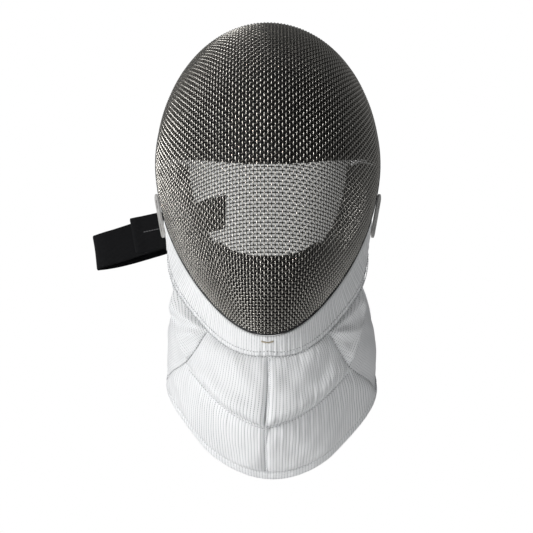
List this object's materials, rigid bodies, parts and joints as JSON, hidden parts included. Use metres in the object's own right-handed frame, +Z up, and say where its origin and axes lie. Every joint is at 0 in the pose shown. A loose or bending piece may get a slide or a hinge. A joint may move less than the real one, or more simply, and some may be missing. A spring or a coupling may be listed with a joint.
{
  "type": "fencing mask",
  "caption": "Fencing mask: deep woven-wire bowl with black edge, quilted white bib, inner pads, slotted side plates and an elastic back strap.",
  "frame": {"origin": "middle of the crown pad's inner face, where the wearer's head carries the mask", "axes": "+Z up as worn, the wearer looks along -Y, +X towards the wearer's left"},
  "size_m": [0.279, 0.2077, 0.3966],
  "materials": {
    "steel_mesh": "warm grey stainless wire, plain weave",
    "black_trim": "black moulded edging",
    "pad_fabric": "black padded cloth",
    "bib_fabric": "white ribbed quilted cloth",
    "plate_steel": "stamped bright steel",
    "strap_elastic": "black woven elastic"
  },
  "bodies": {
    "root": {"mesh_shell": "steel_mesh", "edge_rim": "black_trim", "forehead_pad": "pad_fabric", "chin_pad": "pad_fabric", "cheek_pad_left": "pad_fabric", "cheek_pad_right": "pad_fabric", "bib_band": "bib_fabric", "bib_hem": "bib_fabric", "bib_throat_left": "bib_fabric", "bib_throat_right": "bib_fabric", "bib_chest_left": "bib_fabric", "bib_chest_right": "bib_fabric", "bib_side_left": "bib_fabric", "bib_side_right": "bib_fabric", "strap_plate_left": "plate_steel", "strap_plate_right": "plate_steel", "strap": "strap_elastic", "strap_bar": "plate_steel"}
  },
  "joints": []
}
